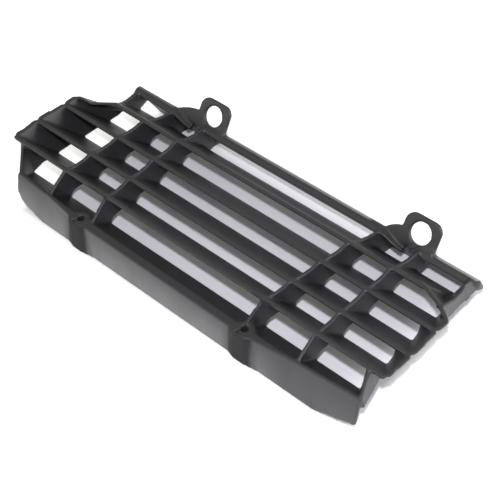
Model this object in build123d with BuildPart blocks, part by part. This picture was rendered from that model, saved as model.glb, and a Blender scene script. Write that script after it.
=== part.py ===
from build123d import *
import os
from math import atan2, cos, degrees, pi, radians, sin, tan

# Louvres. Heights count up from the near wall's foot, and y counts back from its outer face.
ridge_height = 30.0
ridge_width = 2.0
ridge_edge = 1.5
blade_depth = 20.3
blade_pitch = 20.8
blade_run = 24.0
near_blade_run = 21.8
blade_count = 4
blade_thickness = 2.0

# Near wall, with a ledge between the two screw bosses and a vane behind its rim
wall_height = 20.0
wall_thickness = 2.4
ledge_width = 5.2
ledge_end = 60.0
vane_run = 14.7
wing_inset = 4.3
wing_start_inset = 0.4
left_wing = 116.5
left_wing_cut = 94.0
left_wing_corner = 10.0
left_wing_turn = 0.8
left_rim_rise = 1.6
right_wing = 130.2
right_wing_cut = 105.0
right_wing_corner = 7.5
right_wing_turn = 0.33
right_rim_rise = 4.5
crease_start = 10.0
crease_end = 1.0

# Screw bosses in the near wall
boss_spacing = 121.0
boss_shift = -2.6
boss_radius = 5.7
boss_setback = 4.2
boss_left_flare = 8.0
boss_right_flare = 12.5
boss_nose = 3.4
pilot_radius = 2.0
pilot_depth = 14.0

# Far wall: a flat rim, chamfered inside and dipped beside each lug, over a wall that leans out to its foot
far_wall_gap = 4.3
far_rim_drop = 6.5
far_rim_width = 3.2
far_chamfer = 2.4
far_bead = 2.0
far_lean = 26.5
far_wall_thickness = 2.6
far_foot = 3.0
far_middle_foot = 8.6
far_wall_left = 123.7
far_wall_right = 127.0
far_corner_run = 9.0
far_corner_height = 14.2
notch_depth = 3.8
notch_low = 9.0
notch_end = 2.0
shelf_width = 4.6
shelf_thickness = 1.8

# Cross ribs: an upright outer pair and an inner pair that opens toward the far wall
outer_rib_x = 90.85
inner_rib_x = 60.3
inner_rib_skew = 5.64
rib_thickness = 2.0
rib_sag = 1.6
far_rib_sag = 2.5
rib_arch = 3.3
rib_arch_run = 5.5
rib_arch_knee = 0.6

# Closed ends of the louvre channels
left_reach = 138.7
right_reach = 135.2
left_ramp = 11.4
right_ramp = 13.1
right_bow = 11.0
end_thickness = 2.6
end_corner = 1.6
left_tip_inset = 2.0
right_tip_inset = 0.6
shoulder_width = 8.5
left_bend = 126.9
left_bend_step = 3.4
right_bend = 125.4
right_bend_step = 7.4
last_blade_left = 115.0
last_blade_right = 112.0
last_foot_right = 122.0

# Ends of the channel behind the near wall
near_left_rim = 127.0
near_left_foot = 121.9
near_right_rim = 124.4
near_right_foot = 119.9

# Lips that hang outside the open channels' right ends
lip_thickness = 1.8
lip_bite = 0.5
lip_foot = 18.0
ramp_head = 0.4
near_lip_flare = 1.6
near_lip = 128.4
near_lip_tuck = 7.0
far_lip = 127.9
far_lip_rim = 127.2
far_lip_shares = (0.0, 0.4, 0.75, 1.0)
far_lip_turn = 3.0
far_lip_fall = 1.5
far_corner_rim = 123.6
far_corner_setback = 7.8
far_end_foot = 117.0

# Lugs that lean back from the far wall
lug_spacing = 150.0
lug_shift = 12.4
lug_width = 23.0
lug_top = 16.5
lug_corner = 6.0
lug_lean = 28.0
lug_thickness = 2.4
lug_root = 3.0
lug_hole_radius = 6.35
lug_hole_height = 7.1
lug_inset = 1.5
web_top = 6.3
web_bulge = 0.7
wedge_start = 2.0
wedge_height = 6.2
wedge_root = 0.8

blade_foot = ridge_height - blade_depth
vane_foot_y = ledge_width + vane_run
foot_y = [vane_foot_y + blade_pitch * (i + 1) for i in range(blade_count)]
ridge_y = [y - (near_blade_run if i == 0 else blade_run) for i, y in enumerate(foot_y)]
grille_middle_y = (ridge_y[0] + ridge_y[-1]) / 2
far_wall_y = foot_y[-1] + far_wall_gap
far_rim_height = ridge_height - far_rim_drop
half_end = end_thickness / 2
left_foot = left_reach - left_ramp
right_foot = right_reach - right_ramp


def between(start, end, share):
    return start + (end - start) * share


# Outer face of the leaning far wall at a height
def far_back(height):
    return far_wall_y + (far_rim_height - height) * tan(radians(far_lean))


# The guard lies on the feet of its two walls.
rest_tilt = degrees(atan2(far_foot, far_back(far_foot) - wall_thickness))


# A blade slopes back and down from its ridge. Its ends follow the closed ends of the channels.
def blade(ridge, foot, left_top, left_low, right_top, right_low):
    edge = blade_thickness / sin(atan2(blade_depth, foot - ridge))
    front = ridge - ridge_width / 2
    with BuildPart() as piece:
        with BuildSketch(Plane.YZ):
            with BuildLine():
                Polyline(
                    (front, ridge_height),
                    (front + ridge_width, ridge_height),
                    (foot, blade_foot),
                    (foot - edge, blade_foot),
                    (front, ridge_height - ridge_edge),
                    close=True,
                )
            make_face()
        extrude(amount=left_reach + right_reach, both=True)
        with BuildSketch(Plane.XZ):
            with BuildLine():
                Polyline(
                    (-left_top, ridge_height),
                    (right_top, ridge_height),
                    (right_low, blade_foot),
                    (-left_low, blade_foot),
                    close=True,
                )
            make_face()
        extrude(amount=-2 * foot, mode=Mode.INTERSECT)
    return piece.part


# A rib is an upright plate. Its top edge hangs in shallow arcs from ridge to ridge,
# and its lower edge arches between the feet and runs down to the far wall's foot.
def rib(middle_x, skew):
    stretch = 1 / cos(radians(skew))
    along = (-sin(radians(skew)), cos(radians(skew)), 0)
    plane = Plane(origin=(middle_x, grille_middle_y, 0), x_dir=along, z_dir=(along[1], -along[0], 0))

    def at(y, z):
        return ((y - grille_middle_y) * stretch, z)

    near_y = wing_inset + rib_thickness / 2
    far_y = far_wall_y - far_rim_width / 2
    with BuildPart() as piece:
        with BuildSketch(plane):
            with BuildLine():
                Line(at(near_y, wall_height), at(ridge_y[0], ridge_height))
                for y0, y1 in zip(ridge_y, ridge_y[1:]):
                    sag_point = at((y0 + y1) / 2, ridge_height - rib_sag)
                    ThreePointArc(at(y0, ridge_height), sag_point, at(y1, ridge_height))
                far_sag = at((ridge_y[-1] + far_y) / 2, ridge_height - far_rim_drop / 2 - far_rib_sag)
                ThreePointArc(at(ridge_y[-1], ridge_height), far_sag, at(far_y, far_rim_height))
                Polyline(
                    at(far_y, far_rim_height),
                    at(far_back(far_foot) - far_wall_thickness / 2, far_foot),
                    at(foot_y[-1] + far_wall_gap, far_foot),
                    at(foot_y[-1], blade_foot),
                )
                for y0, y1, ridge in zip([vane_foot_y] + foot_y, foot_y, ridge_y):
                    arch_top = blade_foot + rib_arch
                    arch_end = y1 - blade_thickness - (y1 - ridge) * rib_arch / blade_depth
                    knee = at(y0 + rib_arch_run / 4, between(blade_foot, arch_top, rib_arch_knee))
                    ThreePointArc(at(y0, blade_foot), knee, at(y0 + rib_arch_run, arch_top))
                    Polyline(
                        at(y0 + rib_arch_run, arch_top),
                        at(arch_end, arch_top),
                        at(y1 - blade_thickness / 2, blade_foot),
                        at(y1, blade_foot),
                    )
                Polyline(
                    at(vane_foot_y, blade_foot),
                    at(near_y, wall_height - wall_thickness),
                    at(near_y, wall_height),
                )
            make_face()
        extrude(amount=rib_thickness / 2, both=True)
    return piece.part


# The plate that closes the last channel at the left, from the last ridge's tip to the far wall
def end_plate(ridge_x, far_x):
    run = far_wall_y - ridge_y[-1]
    stretch = Vector(far_x - ridge_x, run, 0).length / run
    along = Vector(far_x - ridge_x, run, 0).normalized()
    plane = Plane(origin=(ridge_x, ridge_y[-1], 0), x_dir=along, z_dir=(along.Y, -along.X, 0))

    def at(y, z):
        return ((y - ridge_y[-1]) * stretch, z)

    with BuildPart() as piece:
        with BuildSketch(plane):
            with BuildLine():
                sag_point = at((ridge_y[-1] + far_wall_y) / 2, ridge_height - far_rim_drop / 2 - far_rib_sag)
                ThreePointArc(at(ridge_y[-1], ridge_height), sag_point, at(far_wall_y, far_rim_height))
                Polyline(
                    at(far_wall_y, far_rim_height),
                    at(far_back(blade_foot), blade_foot),
                    at(foot_y[-1] - blade_thickness, blade_foot),
                    at(ridge_y[-1], ridge_height - ridge_edge),
                    at(ridge_y[-1], ridge_height),
                )
            make_face()
        extrude(amount=end_thickness / 2, both=True)
    return piece.part


# The wall that closes one channel, drawn through leaning sections from the near blade to the further one.
# Each section runs from the rim at the ridges to the foot at the blade feet.
def end_wall(side, rim, foot, inward):
    with BuildPart() as piece:
        for (rim_x, rim_y), (foot_x, foot_end_y), (in_x, in_y) in zip(rim, foot, inward):
            across = Vector(-side * in_x, -in_y, 0)
            fall = Vector(side * (foot_x - rim_x), foot_end_y - rim_y, -blade_depth)
            plane = Plane(origin=(side * rim_x, rim_y, ridge_height), x_dir=across, z_dir=across.cross(fall))
            low_x = fall.dot(plane.x_dir)
            low_y = fall.dot(plane.y_dir)
            with BuildSketch(plane):
                with BuildLine():
                    Polyline(
                        (0, 0),
                        (end_thickness, 0),
                        (low_x + end_thickness, low_y),
                        (low_x, low_y),
                        close=True,
                    )
                make_face()
        loft(ruled=True)
    return piece.part


# Foot of a closed end between two blades, bowed inward toward the further one
def foot_line(foot_reach, bow, near, far, count):
    shares = [k / (count - 1) for k in range(count)]
    return [(foot_reach - bow * t * t, between(near, far, t)) for t in shares]


def pocket_end(side, reach, foot_reach, bow, i, first_inset):
    y0, y1 = ridge_y[i], ridge_y[i + 1]
    first_reach = reach - first_inset
    rim = [
        (first_reach - end_corner, y0),
        (first_reach, y0 + end_corner),
        (reach, y1 - end_corner),
        (reach - end_corner, y1),
    ]
    foot = foot_line(foot_reach, bow, foot_y[i], foot_y[i + 1], len(rim))
    return end_wall(side, rim, foot, [(1, 0)] * len(rim))


# Past its shoulder the last pocket's rim turns in to the shorter last blade.
def shoulder_end(side, reach, foot_reach, bow, last_reach, bend, bend_step):
    y0, y1 = ridge_y[-2], ridge_y[-1]
    turn_y = y0 + shoulder_width
    rim = [
        (reach - end_corner, y0),
        (reach, y0 + end_corner),
        (reach, turn_y),
        (reach - 2 * end_corner, turn_y + 2 * end_corner),
        (bend, turn_y + bend_step),
        (last_reach, y1 + ridge_width / 2),
    ]
    foot = foot_line(foot_reach, bow, foot_y[-2], foot_y[-1], len(rim))
    turn = cos(pi / 4)
    return end_wall(side, rim, foot, [(1, 0)] * 3 + [(turn, turn)] * 3)


# A closed end drawn through upright sections, each an outline across the guard's length
def end_shell(sections):
    with BuildPart() as piece:
        for y, outline in sections:
            with BuildSketch(Plane.XZ.offset(-y)):
                with BuildLine():
                    Polyline(*outline, close=True)
                make_face()
        loft(ruled=True)
    return piece.part


# A plain ramp from a foot to a rim
def ramp_outline(side, foot_x, foot_z, rim_x, rim_z):
    return [
        (side * foot_x, foot_z),
        (side * rim_x, rim_z),
        (side * (rim_x + end_thickness), rim_z),
        (side * (foot_x + end_thickness), foot_z),
    ]


# A lip is a thin sheet that hangs from a rim to a lower edge.
def lip_outline(rim_x, rim_z, edge_x, edge_z):
    return [
        (rim_x, rim_z),
        (edge_x, edge_z),
        (edge_x - lip_thickness, edge_z),
        (rim_x - lip_thickness, rim_z),
    ]


# The ramp behind a lip, tucked into the lip's thickness at its top
def lip_ramp(foot_x, foot_z, rim_x, rim_z, edge_x, edge_z):
    head_x = between(rim_x, edge_x, ramp_head)
    head_z = between(rim_z, edge_z, ramp_head)
    return [
        (foot_x, foot_z),
        (rim_x - lip_thickness + lip_bite, rim_z - lip_bite / 2),
        (head_x - lip_thickness / 2, head_z),
        (foot_x + end_thickness, foot_z),
    ]


# A wing of the near wall, drawn through upright sections from the ledge to the wing's tip
def wing(sections):
    with BuildPart() as piece:
        for x, rim_y, rim_z, crease, low_y, low_z in sections:
            with BuildSketch(Plane.YZ.offset(x)):
                with BuildLine():
                    Polyline(
                        (low_y, low_z),
                        (low_y, low_z + crease),
                        (rim_y, rim_z),
                        (rim_y + wall_thickness, rim_z),
                        (low_y + wall_thickness, low_z + crease),
                        (low_y + wall_thickness, low_z),
                        close=True,
                    )
                make_face()
        loft(ruled=True)
    return piece.part


# A lug plate with its eye, and the web that ties it back to the rib on its left
def lug(middle_x, web_end_x):
    lean = radians(lug_lean)
    root = (middle_x, far_wall_y - far_rim_width + lug_inset, far_rim_height)
    plane = Plane(origin=root, x_dir=(1, 0, 0), z_dir=(0, -cos(lean), sin(lean)))
    web_start = lug_width / 2
    web_end = middle_x - web_end_x
    with BuildPart() as piece:
        with BuildSketch(plane) as face:
            with Locations((0, (lug_top - lug_root) / 2)):
                Rectangle(lug_width, lug_top + lug_root)
            fillet(face.vertices().group_by(Axis.Y)[-1], lug_corner)
            with BuildLine():
                ThreePointArc(
                    (-web_start, web_top),
                    (-(web_start + web_end) / 2, web_bulge * web_top),
                    (-web_end, 0),
                )
                Polyline((-web_end, 0), (-web_end, -lug_root), (-web_start, -lug_root), (-web_start, web_top))
            make_face()
            with Locations((0, lug_hole_height)):
                Circle(lug_hole_radius, mode=Mode.SUBTRACT)
        extrude(amount=-lug_thickness)
    return piece.part


# The wedge that grows along a lug's foot toward its right edge, between the lug's face and the rim
def lug_wedge(middle_x):
    lean = radians(lug_lean)
    rim_y = far_wall_y - far_rim_width
    face_y = rim_y + lug_inset
    low_z = far_rim_height - wedge_root
    with BuildPart() as piece:
        for x, reach in ((wedge_start, wedge_root), (lug_width / 2, wedge_height)):
            with BuildSketch(Plane.YZ.offset(middle_x + x)):
                with BuildLine():
                    Polyline(
                        (between(face_y, rim_y, reach / wedge_height), far_rim_height),
                        (between(face_y, rim_y, reach / wedge_height), low_z),
                        (face_y + lug_thickness / 2, low_z),
                        (face_y + reach * sin(lean) + wedge_root / 2, far_rim_height + reach * cos(lean)),
                        close=True,
                    )
                make_face()
        loft(ruled=True)
    return piece.part


# Near wall: foot and ledge between the bosses, then the two wings
with BuildPart() as near_wall:
    with BuildSketch(Plane.YZ):
        with BuildLine():
            Polyline(
                (0, 0),
                (0, wall_height),
                (ledge_width, wall_height),
                (ledge_width, wall_height - wall_thickness),
                (wall_thickness, wall_height - wall_thickness),
                (wall_thickness, 0),
                close=True,
            )
        make_face()
    extrude(amount=ledge_end, both=True)

with BuildPart() as ledge_tips:
    with BuildSketch(Plane.XY.offset(wall_height - wall_thickness)):
        for side in (-1, 1):
            with BuildLine():
                Polyline(
                    (side * ledge_end, 0),
                    (side * outer_rib_x, wing_inset),
                    (side * outer_rib_x, ledge_width),
                    (side * ledge_end, ledge_width),
                    close=True,
                )
            make_face()
    extrude(amount=wall_thickness)

left_rim_height = wall_height + left_rim_rise
right_rim_height = wall_height + right_rim_rise
left_shoulder_x = between(left_wing_cut, left_wing, left_wing_turn)
right_turn_height = between(wall_height, right_rim_height, right_wing_turn)
right_turn_y = wing_inset * right_wing_turn
left_wing_part = wing(
    [
        (-left_wing, wing_inset, left_rim_height, crease_end, wing_inset / 2, left_wing_corner),
        (-left_shoulder_x, wing_inset, left_rim_height, crease_end, wing_inset / 4, left_wing_corner / 2),
        (-left_wing_cut, wing_inset, wall_height, crease_end, 0, 0),
        (-outer_rib_x, wing_inset, wall_height, crease_end, 0, 0),
        (-ledge_end, wing_start_inset, wall_height, crease_end, 0, 0),
    ]
)
right_wing_part = wing(
    [
        (ledge_end, wing_start_inset, wall_height, crease_start, 0, 0),
        ((ledge_end + outer_rib_x) / 2, wing_inset / 2, wall_height, crease_start / 2, 0, 0),
        (outer_rib_x, wing_inset, wall_height, 2 * crease_end, 0, 0),
        (right_wing_cut, wing_inset, right_turn_height, crease_end, 0, 0),
        (right_wing, wing_inset, right_rim_height, crease_end, right_turn_y, right_wing_corner),
    ]
)

# The vane that slopes in behind the near rim
vane_edge = blade_thickness / sin(atan2(wall_height - blade_foot, vane_run))
with BuildPart() as vane:
    with BuildSketch(Plane.YZ):
        with BuildLine():
            Polyline(
                (wing_inset, wall_height),
                (ledge_width, wall_height),
                (vane_foot_y, blade_foot),
                (vane_foot_y - vane_edge, blade_foot),
                (wing_inset, wall_height - wall_thickness),
                close=True,
            )
        make_face()
    extrude(amount=left_reach + right_reach, both=True)
    with BuildSketch(Plane.XZ):
        with BuildLine():
            Polyline(
                (-left_wing, wall_height),
                (right_wing - end_thickness, wall_height),
                (near_right_foot + half_end, blade_foot),
                (-near_left_foot - half_end, blade_foot),
                close=True,
            )
        make_face()
    extrude(amount=-far_wall_y, mode=Mode.INTERSECT)

# Bosses that flare out to the foot of the near wall
boss_x = [boss_shift - boss_spacing / 2, boss_shift + boss_spacing / 2]
nose_y = boss_setback - boss_radius
boss_low = (boss_setback + boss_radius) * tan(radians(rest_tilt))
with BuildPart() as bosses:
    with BuildSketch(Plane.XY.offset(boss_low)):
        with Locations(*[(x, boss_setback) for x in boss_x]):
            Circle(boss_radius)
    extrude(amount=wall_height - boss_low)
    boss_flares = ((0, boss_left_flare, boss_right_flare), (wall_height, boss_radius, boss_radius))
    for x in boss_x:
        for height, left, right in boss_flares:
            with BuildSketch(Plane.XY.offset(height)):
                with BuildLine():
                    Polyline(
                        (x - left, wall_thickness / 2),
                        (x - left, 0),
                        (x - boss_nose, nose_y),
                        (x + boss_nose, nose_y),
                        (x + right, 0),
                        (x + right, wall_thickness / 2),
                        close=True,
                    )
                make_face()
        loft(ruled=True)

# Far wall: its profile, then the dips and shelves beside the lugs, the turned right end,
# the raised foot between the inner ribs and the cut corners
far_skew = tan(radians(inner_rib_skew)) * (far_wall_y - grille_middle_y)
inner_rib_far_x = inner_rib_x + far_skew
bead_low = far_rim_height - far_chamfer - far_bead
with BuildPart() as far_wall:
    with BuildSketch(Plane.YZ.offset(-far_wall_left)):
        with BuildLine():
            Polyline(
                (far_wall_y, far_rim_height),
                (far_wall_y - far_rim_width, far_rim_height),
                (far_wall_y - far_rim_width - far_chamfer, far_rim_height - far_chamfer),
                (far_back(bead_low) - far_wall_thickness, bead_low),
                (far_back(far_foot) - far_wall_thickness, far_foot),
                (far_back(far_foot), far_foot),
                close=True,
            )
        make_face()
    extrude(amount=far_wall_left + far_wall_right)
    lug_cells = ((-outer_rib_x, -inner_rib_far_x), (inner_rib_far_x, outer_rib_x))
    lug_face = Plane.XZ.offset(far_rim_width - lug_inset - far_wall_y)
    with BuildSketch(lug_face):
        for start_x, end_x in lug_cells:
            dip_start = (start_x, far_rim_height - shelf_thickness / 2)
            dip_low = (end_x - notch_low, far_rim_height - notch_depth - shelf_thickness / 2)
            with BuildLine():
                Spline(dip_start, dip_low, tangents=((1, 0), (1, 0)))
                Polyline(
                    dip_low,
                    (end_x - notch_end, far_rim_height),
                    (end_x - notch_end, far_rim_height + shelf_thickness),
                    (start_x, far_rim_height + shelf_thickness),
                    dip_start,
                )
            make_face()
    extrude(amount=far_chamfer + far_rim_width, mode=Mode.SUBTRACT)
    with BuildSketch(lug_face):
        for start_x, end_x in lug_cells:
            dip_start = (start_x, far_rim_height)
            dip_low = (end_x - notch_low, far_rim_height - notch_depth)
            shelf_start = (start_x, far_rim_height - shelf_thickness)
            shelf_low = (end_x - notch_low, far_rim_height - notch_depth - shelf_thickness)
            with BuildLine():
                Spline(dip_start, dip_low, tangents=((1, 0), (1, 0)))
                Spline(shelf_start, shelf_low, tangents=((1, 0), (1, 0)))
                Line(dip_start, shelf_start)
                Line(dip_low, shelf_low)
            make_face()
    extrude(amount=shelf_width)
    with BuildSketch(Plane.XY):
        with BuildLine():
            Polyline(
                (far_wall_right, far_wall_y),
                (far_corner_rim - lip_bite, far_wall_y - far_rim_width),
                (far_corner_rim - lip_bite, far_wall_y - far_corner_setback),
                (far_wall_right, far_wall_y - far_corner_setback),
                close=True,
            )
        make_face()
    extrude(amount=ridge_height, mode=Mode.SUBTRACT)
    with BuildSketch(Plane.XZ.offset(-far_back(0))):
        with BuildLine():
            Polyline(
                (-inner_rib_far_x, far_foot),
                (far_middle_foot - far_foot - inner_rib_far_x, far_middle_foot),
                (inner_rib_far_x - far_middle_foot + far_foot, far_middle_foot),
                (inner_rib_far_x, far_foot),
                close=True,
            )
        make_face()
        for side, reach in ((-1, far_wall_left), (1, far_wall_right)):
            with BuildLine():
                Polyline(
                    (side * reach, far_foot),
                    (side * reach, far_corner_height),
                    (side * (reach - far_corner_run), far_foot),
                    close=True,
                )
            make_face()
    extrude(amount=far_back(0) - foot_y[-1], mode=Mode.SUBTRACT)

lug_x = [lug_shift - lug_spacing / 2, lug_shift + lug_spacing / 2]
pieces = [
    near_wall.part,
    ledge_tips.part,
    left_wing_part,
    right_wing_part,
    vane.part,
    bosses.part,
    far_wall.part,
    rib(-outer_rib_x, 0),
    rib(-inner_rib_x, inner_rib_skew),
    rib(inner_rib_x, -inner_rib_skew),
    rib(outer_rib_x, 0),
    lug(lug_x[0], -outer_rib_x),
    lug(lug_x[1], inner_rib_far_x),
    lug_wedge(lug_x[0]),
    lug_wedge(lug_x[1]),
]

# Blades, the first with drawn-in tips and the last shorter than the rest
for i in range(blade_count - 1):
    left_top = left_reach - half_end - (left_tip_inset if i == 0 else 0)
    right_top = right_reach - half_end - (right_tip_inset if i == 0 else 0)
    pieces.append(
        blade(ridge_y[i], foot_y[i], left_top, left_foot - half_end, right_top, right_foot - half_end)
    )
pieces.append(
    blade(ridge_y[-1], foot_y[-1], last_blade_left, left_foot - half_end, last_blade_right, last_foot_right)
)

# Closed ends between the blades
for i in range(blade_count - 2):
    pieces.append(pocket_end(-1, left_reach, left_foot, 0, i, left_tip_inset if i == 0 else 0))
    pieces.append(pocket_end(1, right_reach, right_foot, right_bow, i, right_tip_inset if i == 0 else 0))
pieces.append(shoulder_end(-1, left_reach, left_foot, 0, last_blade_left, left_bend, left_bend_step))
pieces.append(
    shoulder_end(1, right_reach, right_foot, right_bow, last_blade_right, right_bend, right_bend_step)
)

# Ends of the channel behind the near wall. Under the first blade they narrow to its foot.
under_y = (ridge_y[0] + foot_y[0]) / 2
under_z = (ridge_height + blade_foot) / 2 - blade_thickness
tuck_y = foot_y[0] - 2 * blade_thickness
tuck_z = blade_foot + blade_thickness / 2
ledge_foot = wall_height - wall_thickness
under_rim = ridge_height - ridge_edge / 2
tuck_left = left_foot - end_thickness
tuck_right = right_foot - end_thickness - right_bow
under_right = (near_right_foot + tuck_right) / 2
left_ledge_rim = left_wing - end_thickness
left_ledge_foot = left_wing - 2 * end_thickness
pieces.append(
    end_shell(
        [
            (ledge_width, ramp_outline(-1, left_ledge_foot, ledge_foot, left_ledge_rim, left_rim_height)),
            (ridge_y[0], ramp_outline(-1, near_left_foot, blade_foot, near_left_rim, under_rim)),
            (under_y, ramp_outline(-1, tuck_left, blade_foot, tuck_left + end_corner, under_z)),
            (tuck_y, ramp_outline(-1, tuck_left, blade_foot, tuck_left, tuck_z)),
        ]
    )
)
pieces.append(
    end_shell(
        [
            (ridge_y[0], ramp_outline(1, near_right_foot, blade_foot, near_right_rim, under_rim)),
            (under_y, ramp_outline(1, under_right, blade_foot, near_right_foot, under_z)),
            (tuck_y, ramp_outline(1, tuck_right, blade_foot, tuck_right, tuck_z)),
        ]
    )
)
near_lip_y = wing_inset + wall_thickness / 2
near_tuck_y = ridge_y[0] + near_lip_tuck
near_tuck_z = under_z + blade_thickness
near_lip_sections = [
    (near_lip_y, right_wing, right_rim_height, right_wing + near_lip_flare, lip_foot),
    (ridge_y[0], near_right_rim, ridge_height, near_lip, lip_foot),
    (near_tuck_y, near_right_rim, near_tuck_z, near_lip - lip_thickness, lip_foot),
]
near_ramp_feet = [
    (right_wing - 2 * end_thickness, ledge_foot),
    (near_right_foot, blade_foot),
]
pieces.append(end_shell([(y, lip_outline(*outline)) for y, *outline in near_lip_sections]))
pieces.append(
    end_shell(
        [
            (y, lip_ramp(foot_x, foot_z, *outline))
            for (foot_x, foot_z), (y, *outline) in zip(near_ramp_feet, near_lip_sections)
        ]
    )
)

# Ends of the channel before the far wall: a plate at the left, a ramp and a lip at the right
pieces.append(end_plate(half_end - last_blade_left, half_end - far_wall_left))
far_lip_start_y = ridge_y[-2] + shoulder_width + right_bend_step
far_lip_corner_y = far_wall_y - far_corner_setback
far_lip_sections = []
far_ramp_sections = []
for share in far_lip_shares:
    y = between(far_lip_start_y, far_lip_corner_y, share)
    outline = (
        between(far_lip_rim, far_corner_rim, share**far_lip_turn),
        between(ridge_height, far_rim_height, 1 - (1 - share) ** far_lip_fall),
        far_lip,
        lip_foot,
    )
    foot_x = between(far_lip_rim - 2 * end_thickness, far_end_foot, share)
    foot_z = between(ridge_height - 2 * blade_thickness, blade_foot + blade_thickness, share)
    far_lip_sections.append((y, lip_outline(*outline)))
    far_ramp_sections.append((y, lip_ramp(foot_x, foot_z, *outline)))
far_rim_y = far_wall_y - far_rim_width
far_tip_y = far_back(far_corner_height)
far_tip_z = far_corner_height + lip_thickness
far_lip_middle = (far_corner_height + lip_foot) / 2
far_lip_sections += [
    (far_rim_y, lip_outline(far_corner_rim + lip_bite, far_rim_height, far_lip, lip_foot)),
    (far_wall_y, lip_outline(far_wall_right + lip_bite, far_rim_height, far_lip, far_lip_middle)),
    (far_tip_y, lip_outline(far_wall_right + lip_bite, far_tip_z, far_lip, far_corner_height)),
]
far_ramp_end = (far_corner_rim, lip_foot, far_corner_rim + lip_thickness, far_corner_height)
far_ramp_y = far_back(blade_foot) - far_wall_thickness
far_ramp_sections.append((far_ramp_y, lip_ramp(far_end_foot, blade_foot, *far_ramp_end)))
pieces.append(end_shell(far_lip_sections))
pieces.append(end_shell(far_ramp_sections))

with BuildPart() as grille:
    for piece in pieces:
        add(piece)
    with Locations(*[(x, boss_setback, wall_height) for x in boss_x]):
        Hole(pilot_radius, depth=pilot_depth)

with BuildPart() as tipped:
    add(grille.part, rotation=(-rest_tilt, 0, 0))
box = tipped.part.bounding_box()

with BuildPart() as radiator_guard:
    with Locations((-box.center().X, -box.center().Y, -box.min.Z)):
        add(tipped.part)

os.makedirs("parts", exist_ok=True)
radiator_guard.part.label = "radiator_guard"
export_step(radiator_guard.part, "parts/radiator_guard.step")
print("solids", len(radiator_guard.part.solids()), "volume", radiator_guard.part.volume)
print("offset", -box.center().X, -box.center().Y, -box.min.Z, "tilt", rest_tilt)
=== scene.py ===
import math

import bmesh
import bpy
from mathutils import Matrix, Vector


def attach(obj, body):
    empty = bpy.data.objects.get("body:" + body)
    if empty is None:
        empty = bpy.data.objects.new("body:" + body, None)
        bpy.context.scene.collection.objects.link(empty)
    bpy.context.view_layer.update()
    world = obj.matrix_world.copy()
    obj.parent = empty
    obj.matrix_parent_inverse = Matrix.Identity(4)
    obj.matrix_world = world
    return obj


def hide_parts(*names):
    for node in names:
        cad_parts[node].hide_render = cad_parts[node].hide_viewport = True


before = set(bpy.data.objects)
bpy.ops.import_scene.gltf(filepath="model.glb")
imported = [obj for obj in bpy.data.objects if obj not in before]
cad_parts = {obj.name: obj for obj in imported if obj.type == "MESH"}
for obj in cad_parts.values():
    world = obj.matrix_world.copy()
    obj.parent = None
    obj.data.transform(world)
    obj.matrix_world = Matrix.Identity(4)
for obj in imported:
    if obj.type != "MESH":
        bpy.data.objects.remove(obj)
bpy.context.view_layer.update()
print("frame loaded")

guard = {
    "node": "radiator_guard",
    "body": "root",
    "slot": "moulded_plastic",
    "weldGap": 0.00002,
    "cell": 0.0006,
    "easeShare": 0.5,
    "easePasses": 3,
    "keptFaces": 0.2,
    "screwHoles": ((-0.06135, -0.05336), (0.05965, -0.05336)),
    "slitStart": (-0.0012, -0.0008),
    "slitEnd": (-0.0026, -0.0050),
    "slitWidth": 0.0009,
    "slitDepth": 0.0030,
    "slitTop": 0.0200,
}


# A thin slit runs from each screw hole toward the front of its boss.
def slitCutter(spec):
    start, end = Vector(spec["slitStart"]), Vector(spec["slitEnd"])
    run = end - start
    turn = Matrix.Rotation(math.atan2(-run.x, run.y), 4, "Z")
    size = Matrix.Diagonal((spec["slitWidth"], run.length, 2 * spec["slitDepth"], 1.0))
    slits = bmesh.new()
    for hole in spec["screwHoles"]:
        middle = Vector(hole) + (start + end) / 2
        place = Matrix.Translation((middle.x, middle.y, spec["slitTop"]))
        bmesh.ops.create_cube(slits, size=1.0, matrix=place @ turn @ size)
    mesh = bpy.data.meshes.new("slitCutter")
    slits.to_mesh(mesh)
    slits.free()
    cutter = bpy.data.objects.new("slitCutter", mesh)
    bpy.context.scene.collection.objects.link(cutter)
    return cutter


# The moulding keeps the frame's shape. Its edges and inner corners are eased as a mould leaves them.
def mouldGuard(spec):
    weld = bmesh.new()
    weld.from_mesh(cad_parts[spec["node"]].data)
    bmesh.ops.remove_doubles(weld, verts=weld.verts, dist=spec["weldGap"])
    sharp = bpy.data.meshes.new("guardSharp")
    weld.to_mesh(sharp)
    weld.free()
    piece = bpy.data.objects.new("guardShell", sharp)
    bpy.context.scene.collection.objects.link(piece)

    cells = piece.modifiers.new("evenCells", "REMESH")
    cells.mode = "VOXEL"
    cells.voxel_size = spec["cell"]
    ease = piece.modifiers.new("easedEdges", "SMOOTH")
    ease.factor = spec["easeShare"]
    ease.iterations = spec["easePasses"]
    thin = piece.modifiers.new("fewerFaces", "DECIMATE")
    thin.ratio = spec["keptFaces"]

    # The slits are narrower than a few cells, so they are cut last.
    cutter = slitCutter(spec)
    cut = piece.modifiers.new("slits", "BOOLEAN")
    cut.operation = "DIFFERENCE"
    cut.solver = "EXACT"
    cut.object = cutter
    faces = piece.modifiers.new("cleanFaces", "TRIANGULATE")
    faces.ngon_method = "BEAUTY"

    eased = piece.evaluated_get(bpy.context.evaluated_depsgraph_get())
    mesh = bpy.data.meshes.new_from_object(eased)
    mesh.name = "guardShell"
    mesh.shade_smooth()
    piece.modifiers.clear()
    piece.data = mesh
    bpy.data.meshes.remove(sharp)
    bpy.data.meshes.remove(cutter.data)
    return piece


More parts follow.
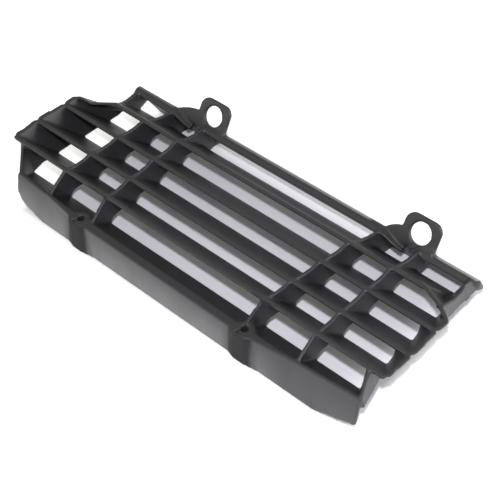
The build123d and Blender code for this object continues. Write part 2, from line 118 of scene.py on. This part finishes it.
plastic = {
    "deep": (0.014, 0.014, 0.016, 1.0),
    "pale": (0.027, 0.027, 0.030, 1.0),
    # Paler edges: partly wear, partly a painted sheen
    "edgeWearAndSheen": (0.060, 0.060, 0.060, 1.0),
    # Paler near wall: partly dust, partly a painted reflection of the floor
    "dustAndReflection": (0.150, 0.150, 0.148, 1.0),
    "specular": 0.55,
    "roughness": (0.38, 0.54),
    "mottleScale": 34.0,
    "mottleDetail": 5.0,
    "mottleRoughness": 0.6,
    "grainScale": 2600.0,
    "grainDetail": 2.0,
    "grainStrength": 0.12,
    "grainHeight": 0.0002,
    "rubScale": 180.0,
    "rubDetail": 3.0,
    "edgeReach": 0.0011,
    "edgeSamples": 6,
    "edgeTurn": (0.995, 0.80),
    "dustReflectionHeight": (0.020, 0.003),
    "nearWallFacing": (-0.35, -0.75),
    "nearWallDepth": (-0.032, -0.040),
    "streakScale": 70.0,
    "streakDetail": 4.0,
    "streakStretch": (1.0, 1.0, 0.15),
    "streakRange": (0.3, 0.6),
    "streakShare": (0.65, 1.0),
    "rightFade": (0.062, 0.085),
    "rightShare": 0.30,
    "bossMiddle": -0.00085,
    "bossHalf": 0.0605,
    "bossReach": (0.007, 0.013),
    "bossSides": (0.0062, 0.0085),
    # Painted shade on the boss fronts
    "bossPaintedShade": (0.009, 0.009, 0.010, 1.0),
    "bossRough": 0.90,
    # Painted sheen on the far rim
    "rimSheen": (0.260, 0.260, 0.252, 1.0),
    "rimAcross": (0.0474, 0.0488),
    "rimFoot": (0.0188, 0.0200),
    "rimTop": (0.0220, 0.0212),
    "rimFacing": (0.30, 0.80),
    "rimAlong": (-0.120, 0.110),
    "rimShare": (0.35, 1.0),
    "lugMiddle": 0.00575,
    "lugHalf": 0.075,
    "lugReach": (0.0203, 0.0233),
}


# Several values taken together by one operation
def combine(tree, operation, first, *others):
    for other in others:
        step = tree.nodes.new("ShaderNodeMath")
        step.operation = operation
        tree.links.new(first, step.inputs[0])
        tree.links.new(other, step.inputs[1])
        first = step.outputs["Value"]
    return first


# A value read as a ramp between two limits
def ramp(tree, value, limits, ends=(0.0, 1.0)):
    step = tree.nodes.new("ShaderNodeMapRange")
    step.inputs["From Min"].default_value = limits[0]
    step.inputs["From Max"].default_value = limits[1]
    step.inputs["To Min"].default_value = ends[0]
    step.inputs["To Max"].default_value = ends[1]
    tree.links.new(value, step.inputs["Value"])
    return step.outputs["Result"]


# How far a value lies from a middle, less a half width
def beyond(tree, value, middle, half):
    shift = tree.nodes.new("ShaderNodeMath")
    shift.operation = "SUBTRACT"
    shift.inputs[1].default_value = middle
    tree.links.new(value, shift.inputs[0])
    size = tree.nodes.new("ShaderNodeMath")
    size.operation = "ABSOLUTE"
    tree.links.new(shift.outputs["Value"], size.inputs[0])
    past = tree.nodes.new("ShaderNodeMath")
    past.operation = "SUBTRACT"
    past.inputs[1].default_value = half
    tree.links.new(size.outputs["Value"], past.inputs[0])
    return past.outputs["Value"]


# How far a value lies from the nearer of a pair, set evenly about a middle
def fromPair(tree, value, middle, half):
    return beyond(tree, beyond(tree, value, middle, half), 0.0, 0.0)


def noise(tree, place, scale, detail, roughness=0.5):
    texture = tree.nodes.new("ShaderNodeTexNoise")
    texture.inputs["Scale"].default_value = scale
    texture.inputs["Detail"].default_value = detail
    texture.inputs["Roughness"].default_value = roughness
    tree.links.new(place, texture.inputs["Vector"])
    return texture.outputs["Fac"]


# A colour laid over another where a share says so
def paint(tree, share, under, colour):
    coat = tree.nodes.new("ShaderNodeMix")
    coat.data_type = "RGBA"
    coat.inputs["B"].default_value = colour
    tree.links.new(share, coat.inputs["Factor"])
    tree.links.new(under, coat.inputs["A"])
    return coat.outputs["Result"]


# Where a point of the surface lies and which way it faces, axis by axis
def readSurface(tree, place):
    spot = tree.nodes.new("ShaderNodeSeparateXYZ")
    tree.links.new(place, spot.inputs["Vector"])
    surface = tree.nodes.new("ShaderNodeNewGeometry")
    facing = tree.nodes.new("ShaderNodeSeparateXYZ")
    tree.links.new(surface.outputs["Normal"], facing.inputs["Vector"])
    return spot.outputs, facing.outputs


# The near wall is painted paler toward its foot, partly as dust and scuffs and partly as a painted
# reflection of the floor, less at the screw bosses and on the right wing.
def dustAndReflectionMask(tree, place, spot, facing, spec):
    low = ramp(tree, spot["Z"], spec["dustReflectionHeight"])
    outer = ramp(tree, facing["Y"], spec["nearWallFacing"])
    front = ramp(tree, spot["Y"], spec["nearWallDepth"])
    side = ramp(tree, spot["X"], spec["rightFade"], (1.0, spec["rightShare"]))
    fromBoss = fromPair(tree, spot["X"], spec["bossMiddle"], spec["bossHalf"])
    clear = ramp(tree, fromBoss, spec["bossReach"])

    stretch = tree.nodes.new("ShaderNodeVectorMath")
    stretch.operation = "MULTIPLY"
    stretch.inputs[1].default_value = spec["streakStretch"]
    tree.links.new(place, stretch.inputs[0])
    streak = noise(tree, stretch.outputs["Vector"], spec["streakScale"], spec["streakDetail"])
    uneven = ramp(tree, streak, spec["streakRange"], spec["streakShare"])
    return combine(tree, "MULTIPLY", low, outer, front, side, clear, uneven)


# Painted shade: the fronts of the screw bosses are painted darker than the wall, and made duller.
def bossShadeMask(tree, spot, facing, spec):
    fromBoss = fromPair(tree, spot["X"], spec["bossMiddle"], spec["bossHalf"])
    near = ramp(tree, fromBoss, spec["bossSides"], (1.0, 0.0))
    outer = ramp(tree, facing["Y"], spec["nearWallFacing"])
    front = ramp(tree, spot["Y"], spec["nearWallDepth"])
    return combine(tree, "MULTIPLY", near, outer, front)


# Painted sheen: the outer half of the far rim is painted pale between the lugs, most at its right end.
def rimSheenMask(tree, spot, facing, spec):
    across = ramp(tree, spot["Y"], spec["rimAcross"])
    above = ramp(tree, spot["Z"], spec["rimFoot"])
    below = ramp(tree, spot["Z"], spec["rimTop"])
    upward = ramp(tree, facing["Z"], spec["rimFacing"])
    along = ramp(tree, spot["X"], spec["rimAlong"], spec["rimShare"])
    fromLug = fromPair(tree, spot["X"], spec["lugMiddle"], spec["lugHalf"])
    clear = ramp(tree, fromLug, spec["lugReach"])
    return combine(tree, "MULTIPLY", across, above, below, upward, along, clear)


# Satin moulded plastic: a fine spark-eroded grain, faint mottling, and edges painted paler, partly as
# wear and partly as a painted sheen
def satinPlastic(spec):
    material = bpy.data.materials.new("satinPlastic")
    material.use_nodes = True
    tree = material.node_tree
    shader = tree.nodes["Principled BSDF"]
    shader.inputs["Specular IOR Level"].default_value = spec["specular"]
    place = tree.nodes.new("ShaderNodeTexCoord").outputs["Object"]
    spot, facing = readSurface(tree, place)

    mottle = noise(tree, place, spec["mottleScale"], spec["mottleDetail"], spec["mottleRoughness"])
    body = tree.nodes.new("ShaderNodeMix")
    body.data_type = "RGBA"
    body.inputs["A"].default_value = spec["deep"]
    body.inputs["B"].default_value = spec["pale"]
    tree.links.new(mottle, body.inputs["Factor"])

    # Edges show where the softened normal leaves the true one.
    soft = tree.nodes.new("ShaderNodeBevel")
    soft.samples = spec["edgeSamples"]
    soft.inputs["Radius"].default_value = spec["edgeReach"]
    true = tree.nodes.new("ShaderNodeNewGeometry")
    turn = tree.nodes.new("ShaderNodeVectorMath")
    turn.operation = "DOT_PRODUCT"
    tree.links.new(soft.outputs["Normal"], turn.inputs[0])
    tree.links.new(true.outputs["Normal"], turn.inputs[1])
    edge = ramp(tree, turn.outputs["Value"], spec["edgeTurn"])
    rub = noise(tree, place, spec["rubScale"], spec["rubDetail"])
    wearAndSheen = combine(tree, "MULTIPLY", edge, rub)

    boss = bossShadeMask(tree, spot, facing, spec)
    # Edges are painted paler, partly as wear and partly as a painted sheen.
    colour = paint(tree, wearAndSheen, body.outputs["Result"], spec["edgeWearAndSheen"])
    # The near wall's pale coat is partly dust and partly a painted reflection of the floor.
    colour = paint(tree, dustAndReflectionMask(tree, place, spot, facing, spec), colour, spec["dustAndReflection"])
    # A painted sheen lightens the outer half of the far rim.
    colour = paint(tree, rimSheenMask(tree, spot, facing, spec), colour, spec["rimSheen"])
    # Painted shade darkens the fronts of the screw bosses.
    colour = paint(tree, boss, colour, spec["bossPaintedShade"])
    tree.links.new(colour, shader.inputs["Base Color"])

    sheen = ramp(tree, mottle, (0.0, 1.0), spec["roughness"])
    dull = tree.nodes.new("ShaderNodeMix")
    dull.inputs["B"].default_value = spec["bossRough"]
    tree.links.new(boss, dull.inputs["Factor"])
    tree.links.new(sheen, dull.inputs["A"])
    tree.links.new(dull.outputs["Result"], shader.inputs["Roughness"])

    grain = noise(tree, place, spec["grainScale"], spec["grainDetail"])
    bump = tree.nodes.new("ShaderNodeBump")
    bump.inputs["Strength"].default_value = spec["grainStrength"]
    bump.inputs["Distance"].default_value = spec["grainHeight"]
    tree.links.new(soft.outputs["Normal"], bump.inputs["Normal"])
    tree.links.new(grain, bump.inputs["Height"])
    tree.links.new(bump.outputs["Normal"], shader.inputs["Normal"])
    return material


shell = mouldGuard(guard)
shell.data.materials.append(satinPlastic(plastic))
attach(shell, guard["body"])
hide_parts(guard["node"])
print("moulding built")

table = {
    "reach": 4.0,
    "colour": (0.83, 0.82, 0.88, 1.0),
    "roughness": 0.6,
    "lift": (0.045, 0.60),
    "liftColour": (1.0, 1.0, 0.93, 1.0),
    "fade": (-0.0005, 0.007),
    "underMiddle": (0.008, 0.0045),
    "underHalf": (0.116, 0.0620),
}


# A pale sheet under the guard. Away from the guard it is seen lifted to white, and it takes the shadow.
def paleTable(spec):
    sheet = bmesh.new()
    bmesh.ops.create_grid(sheet, x_segments=1, y_segments=1, size=spec["reach"])
    mesh = bpy.data.meshes.new("paleTable")
    sheet.to_mesh(mesh)
    sheet.free()
    piece = bpy.data.objects.new("paleTable", mesh)
    bpy.context.scene.collection.objects.link(piece)

    material = bpy.data.materials.new("paleTable")
    material.use_nodes = True
    tree = material.node_tree
    shader = tree.nodes["Principled BSDF"]
    shader.inputs["Base Color"].default_value = spec["colour"]
    shader.inputs["Roughness"].default_value = spec["roughness"]
    shader.inputs["Emission Color"].default_value = spec["liftColour"]

    # The floor seen under and through the guard is hardly lifted.
    place = tree.nodes.new("ShaderNodeTexCoord")
    spot = tree.nodes.new("ShaderNodeSeparateXYZ")
    tree.links.new(place.outputs["Object"], spot.inputs["Vector"])
    past = [
        beyond(tree, spot.outputs[axis], middle, half)
        for axis, middle, half in zip("XY", spec["underMiddle"], spec["underHalf"])
    ]
    fade = ramp(tree, combine(tree, "MAXIMUM", *past), spec["fade"], spec["lift"])

    path = tree.nodes.new("ShaderNodeLightPath")
    seen = combine(
        tree,
        "MAXIMUM",
        path.outputs["Is Camera Ray"],
        path.outputs["Is Glossy Ray"],
        path.outputs["Is Transmission Ray"],
    )
    lift = combine(tree, "MULTIPLY", seen, fade)
    tree.links.new(lift, shader.inputs["Emission Strength"])
    mesh.materials.append(material)
    return piece


paleTable(table)

sky = {
    "colour": (1.0, 1.0, 0.95, 1.0),
    "strength": 0.52,
}
world = bpy.data.worlds.new("studio")
world.use_nodes = True
background = world.node_tree.nodes["Background"]
background.inputs["Color"].default_value = sky["colour"]
background.inputs["Strength"].default_value = sky["strength"]
bpy.context.scene.world = world

lamps = {
    "key": {"place": (0.279, -0.279, 0.506), "size": 0.03, "power": 2.7, "tint": (0.96, 0.96, 1.0)},
    "right": {"place": (0.55, 0.45, 0.25), "size": 0.5, "power": 3.0, "tint": (1.0, 1.0, 1.0)},
    "front": {"place": (-0.60, -0.90, 0.35), "size": 0.8, "power": 3.0, "tint": (1.0, 1.0, 0.97)},
}
for name, spec in lamps.items():
    light = bpy.data.lights.new(name, "AREA")
    light.shape = "DISK"
    light.size = spec["size"]
    light.energy = spec["power"]
    light.color = spec["tint"]
    lamp = bpy.data.objects.new(name, light)
    lamp.location = spec["place"]
    lamp.rotation_euler = (-Vector(spec["place"])).to_track_quat("-Z", "Y").to_euler()
    bpy.context.scene.collection.objects.link(lamp)
print("stage and lamps set")

view = {
    "place": (0.31594, -0.32204, 0.44964),
    "right": (0.74207, 0.67009, -0.01756),
    "up": (-0.46685, 0.53544, 0.70381),
    "back": (0.48102, -0.51408, 0.71017),
    "lens": 82.31,
    "sensor": 36.0,
    "nearest": 0.01,
}
lens = bpy.data.cameras.new("photoCamera")
lens.lens = view["lens"]
lens.sensor_width = view["sensor"]
lens.clip_start = view["nearest"]
camera = bpy.data.objects.new("photoCamera", lens)
axes = Matrix((view["right"], view["up"], view["back"])).transposed()
camera.matrix_world = Matrix.Translation(view["place"]) @ axes.to_4x4()
bpy.context.scene.collection.objects.link(camera)
bpy.context.scene.camera = camera
bpy.context.scene.view_settings.view_transform = "Standard"
print("camera set")
